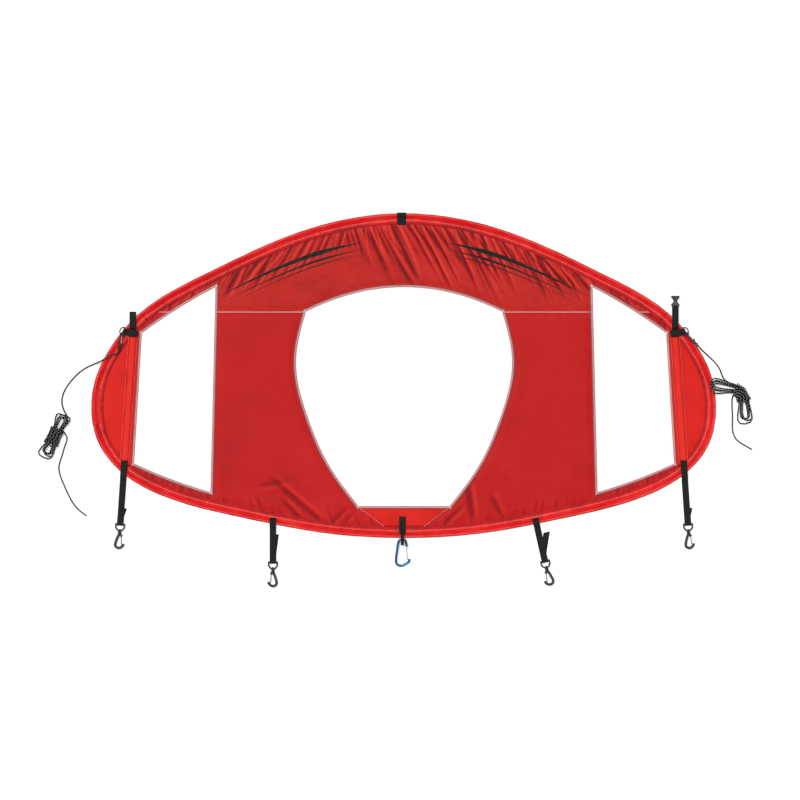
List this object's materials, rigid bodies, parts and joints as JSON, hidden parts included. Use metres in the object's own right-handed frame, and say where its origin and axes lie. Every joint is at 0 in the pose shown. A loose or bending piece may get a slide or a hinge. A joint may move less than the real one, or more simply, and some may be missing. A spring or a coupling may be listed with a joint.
{
  "type": "canoe sail",
  "caption": "Oval clip-on downwind sail on a springy hoop, with clear windows, side and lower straps ending in swivel snap hooks, a carabiner and wound cord reins.",
  "frame": {"origin": "underside of the rim sleeve's flat tail at the bottom centre; the sail lies on its back on z = 0", "axes": "+X to the sail's right seen from the front, +Y towards the top edge, +Z out of the front"},
  "size_m": [1.7344, 0.9145, 0.0209],
  "materials": {
    "rod": "fibreglass rod",
    "steel": "satin steel",
    "sleeve": "woven nylon, bright red",
    "panel": "woven nylon, deep red",
    "upper": "light ripstop nylon, red",
    "end": "heavy woven nylon, red",
    "pane": "clear flexible vinyl",
    "web": "black webbing",
    "hook": "black moulded or coated",
    "blue": "blue anodised",
    "cord": "black cord with pale flecks"
  },
  "bodies": {
    "sail": {"closure_loop": "web", "closure_toggle": "hook", "d_ring_left": "hook", "d_ring_right": "hook", "end_panel_left": "end", "end_panel_right": "end", "hoop_ferrule": "steel", "hoop_rod": "rod", "joint_cover": "sleeve", "lower_panel": "panel", "pocket_left": "end", "pocket_right": "end", "rein_hook_left": "hook", "rein_hook_right": "hook", "rein_left_hank": "cord", "rein_left_lead": "cord", "rein_left_tail": "cord", "rein_right_hank": "cord", "rein_right_lead": "cord", "rein_right_tail": "cord", "ring_tab_left": "web", "ring_tab_right": "web", "sleeve_bottom": "sleeve", "sleeve_left": "sleeve", "sleeve_right": "sleeve", "sleeve_top": "sleeve", "strap_left": "web", "strap_lower_left": "web", "strap_lower_right": "web", "strap_right": "web", "tab_bottom": "web", "tab_top": "web", "tack_patch": "end", "toggle_strap": "web", "upper_panel": "upper", "window_center": "pane", "window_left": "pane", "window_right": "pane"},
    "eye_left": {"hook_eye_left": "hook"},
    "hook_left": {"hook_body_left": "hook"},
    "gate_left": {"hook_gate_left": "hook"},
    "eye_right": {"hook_eye_right": "hook"},
    "hook_right": {"hook_body_right": "hook"},
    "gate_right": {"hook_gate_right": "hook"},
    "eye_lower_left": {"hook_eye_lower_left": "hook"},
    "hook_lower_left": {"hook_body_lower_left": "hook"},
    "gate_lower_left": {"hook_gate_lower_left": "hook"},
    "eye_lower_right": {"hook_eye_lower_right": "hook"},
    "hook_lower_right": {"hook_body_lower_right": "hook"},
    "gate_lower_right": {"hook_gate_lower_right": "hook"},
    "carabiner": {"carabiner_body": "blue"},
    "carabiner_gate": {"carabiner_gate": "steel"},
    "rein_gate_left": {"rein_gate_left": "steel"},
    "rein_gate_right": {"rein_gate_right": "steel"}
  },
  "joints": [
    {"name": "eye_left_tilt", "type": "hinge", "parent": "sail", "child": "eye_left", "pos_m": [-0.69235, 0.01426, 0.0049], "axis": [0.9977, -0.0678, 0], "range_deg": [-70, 70]},
    {"name": "hook_left_swivel", "type": "hinge", "parent": "eye_left", "child": "hook_left", "pos_m": [-0.69342, -0.00151, 0.0049], "axis": [0.0678, 0.9977, 0], "continuous": true},
    {"name": "gate_left_swing", "type": "hinge", "parent": "hook_left", "child": "gate_left", "pos_m": [-0.69007, -0.01318, 0.0049], "axis": [0, 0, -1], "range_deg": [0, 22], "stiffness_Nm_per_rad": 0.02},
    {"name": "eye_right_tilt", "type": "hinge", "parent": "sail", "child": "eye_right", "pos_m": [0.69235, 0.01426, 0.0049], "axis": [0.9977, 0.0678, 0], "range_deg": [-70, 70]},
    {"name": "hook_right_swivel", "type": "hinge", "parent": "eye_right", "child": "hook_right", "pos_m": [0.69342, -0.00151, 0.0049], "axis": [-0.0678, 0.9977, 0], "continuous": true},
    {"name": "gate_right_swing", "type": "hinge", "parent": "hook_right", "child": "gate_right", "pos_m": [0.69832, -0.01262, 0.0049], "axis": [0, 0, -1], "range_deg": [0, 22], "stiffness_Nm_per_rad": 0.02},
    {"name": "eye_lower_left_tilt", "type": "hinge", "parent": "sail", "child": "eye_lower_left", "pos_m": [-0.31983, -0.07865, 0.0049], "axis": [1, 0, 0], "range_deg": [-70, 70]},
    {"name": "hook_lower_left_swivel", "type": "hinge", "parent": "eye_lower_left", "child": "hook_lower_left", "pos_m": [-0.31983, -0.09445, 0.0049], "axis": [0, 1, 0], "continuous": true},
    {"name": "gate_lower_left_swing", "type": "hinge", "parent": "hook_lower_left", "child": "gate_lower_left", "pos_m": [-0.32397, -0.10587, 0.0049], "axis": [0, 0, 1], "range_deg": [0, 22], "stiffness_Nm_per_rad": 0.02},
    {"name": "eye_lower_right_tilt", "type": "hinge", "parent": "sail", "child": "eye_lower_right", "pos_m": [0.34365, -0.07598, 0.0049], "axis": [0.9751, 0.2215, 0], "range_deg": [-70, 70]},
    {"name": "hook_lower_right_swivel", "type": "hinge", "parent": "eye_lower_right", "child": "hook_lower_right", "pos_m": [0.34715, -0.09139, 0.0049], "axis": [-0.2215, 0.9751, 0], "continuous": true},
    {"name": "gate_lower_right_swing", "type": "hinge", "parent": "hook_lower_right", "child": "gate_lower_right", "pos_m": [0.34565, -0.10344, 0.0049], "axis": [0, 0, 1], "range_deg": [0, 22], "stiffness_Nm_per_rad": 0.02},
    {"name": "carabiner_swing", "type": "hinge", "parent": "sail", "child": "carabiner", "pos_m": [-0.004, -0.0239, 0.01285], "axis": [1, 0, 0], "range_deg": [-100, 75]},
    {"name": "carabiner_gate_swing", "type": "hinge", "parent": "carabiner", "child": "carabiner_gate", "pos_m": [0.0058, -0.03714, 0.01091], "axis": [0, 0.1451, -0.9894], "range_deg": [0, 20], "stiffness_Nm_per_rad": 0.02},
    {"name": "rein_gate_left_swing", "type": "hinge", "parent": "sail", "child": "rein_gate_left", "pos_m": [-0.68978, 0.45347, 0.0151], "axis": [-0.7473, 0.0504, 0.6626], "range_deg": [0, 9], "stiffness_Nm_per_rad": 0.01},
    {"name": "rein_gate_right_swing", "type": "hinge", "parent": "sail", "child": "rein_gate_right", "pos_m": [0.70675, 0.46364, 0.01002], "axis": [0.6, 0.4482, 0.6626], "range_deg": [0, 9], "stiffness_Nm_per_rad": 0.01}
  ]
}
